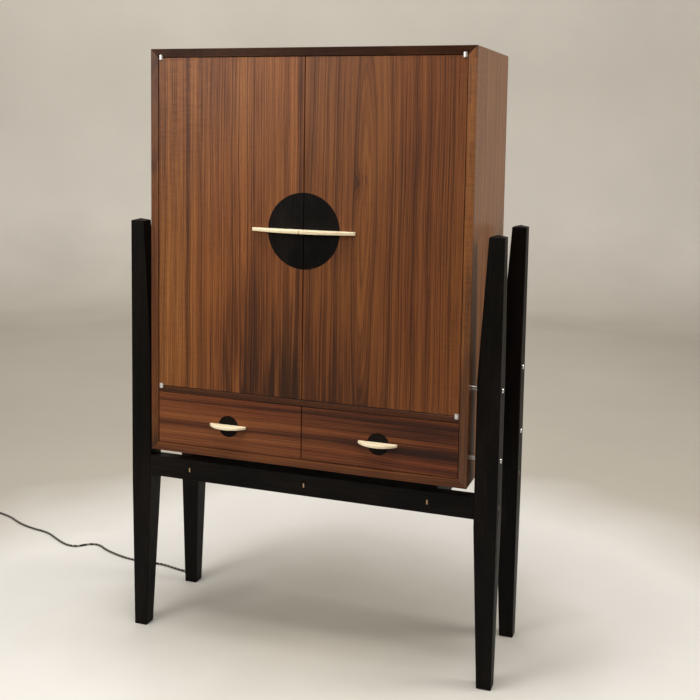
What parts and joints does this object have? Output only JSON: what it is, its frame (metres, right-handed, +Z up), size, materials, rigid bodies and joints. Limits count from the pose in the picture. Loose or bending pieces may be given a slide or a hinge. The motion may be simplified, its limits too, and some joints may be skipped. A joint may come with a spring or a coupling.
{
  "type": "bar cabinet",
  "caption": "Walnut bar cabinet on black tapered legs: doors over drawers, a fold-out shelf and a light inside, a mains lead behind.",
  "frame": {"origin": "on the floor under the middle of the outline, handles and strain relief included, the free cord left out", "axes": "+Z up, +X to the viewer's right, the doors face -Y"},
  "size_m": [1.8675, 0.5853, 1.48],
  "materials": {
    "walnut": "oiled veneer, satin",
    "black_wood": "ebonised, open grain, satin",
    "maple": "clear satin lacquer",
    "polished_steel": "polished",
    "satin_steel": "satin",
    "brushed_aluminium": "brushed",
    "brass": "turned",
    "frosted_plastic": "frosted",
    "black_plastic": "fine texture",
    "cord_rubber": "matt"
  },
  "bodies": {
    "root": {"back_panel": "walnut", "back_rail": "black_wood", "bottom_panel": "walnut", "case_hinges": "polished_steel", "centre_stretcher": "black_wood", "cord_clips": "black_plastic", "cord_relief": "black_plastic", "divider_panel": "walnut", "door_catches": "satin_steel", "drawer_partition": "walnut", "drawer_runners": "maple", "fixed_counter": "walnut", "front_left_leg": "black_wood", "front_rail": "black_wood", "front_right_leg": "black_wood", "lead_coil": "cord_rubber", "leaf_case_hinges": "brass", "leaf_ledges": "walnut", "leaf_stops": "satin_steel", "left_base_panel": "black_wood", "left_side_panel": "walnut", "left_stretcher": "black_wood", "light_channel": "brushed_aluminium", "light_diffuser": "frosted_plastic", "mains_lead": "cord_rubber", "mains_plug": "black_plastic", "rear_left_leg": "black_wood", "rear_right_leg": "black_wood", "right_base_panel": "black_wood", "right_side_panel": "walnut", "right_stretcher": "black_wood", "rod_inserts": "brass", "shelf_pins": "polished_steel", "standoff_rods": "polished_steel", "tenon_wedges": "maple", "top_panel": "walnut", "upper_shelf": "walnut"},
    "left_door": {"left_door_disc": "black_wood", "left_door_handle": "maple", "left_door_hinges": "polished_steel", "left_door_panel": "walnut", "left_door_strike": "satin_steel"},
    "right_door": {"right_door_disc": "black_wood", "right_door_handle": "maple", "right_door_hinges": "polished_steel", "right_door_panel": "walnut", "right_door_strike": "satin_steel"},
    "left_drawer": {"left_drawer_bottom": "maple", "left_drawer_box": "maple", "left_drawer_disc": "black_wood", "left_drawer_front": "walnut", "left_drawer_handle": "maple"},
    "right_drawer": {"right_drawer_bottom": "maple", "right_drawer_box": "maple", "right_drawer_disc": "black_wood", "right_drawer_front": "walnut", "right_drawer_handle": "maple"},
    "fold_out_shelf": {"leaf_hinges": "brass", "leaf_pull": "maple", "shelf_leaf": "walnut"}
  },
  "joints": [
    {"name": "left_door_hinge", "type": "hinge", "parent": "root", "child": "left_door", "pos_m": [-0.3785, -0.169, 1.05275], "axis": [0, 0, -1], "range_deg": [0, 110]},
    {"name": "right_door_hinge", "type": "hinge", "parent": "root", "child": "right_door", "pos_m": [0.3785, -0.169, 1.05275], "axis": [0, 0, 1], "range_deg": [0, 110]},
    {"name": "left_drawer_slide", "type": "slide", "parent": "root", "child": "left_drawer", "axis": [0, -1, 0], "range_m": [0, 0.25]},
    {"name": "right_drawer_slide", "type": "slide", "parent": "root", "child": "right_drawer", "axis": [0, -1, 0], "range_m": [0, 0.25]},
    {"name": "fold_out_shelf_hinge", "type": "hinge", "parent": "root", "child": "fold_out_shelf", "pos_m": [0, 0.00558, 1.01], "axis": [1, 0, 0], "range_deg": [0, 90]}
  ]
}
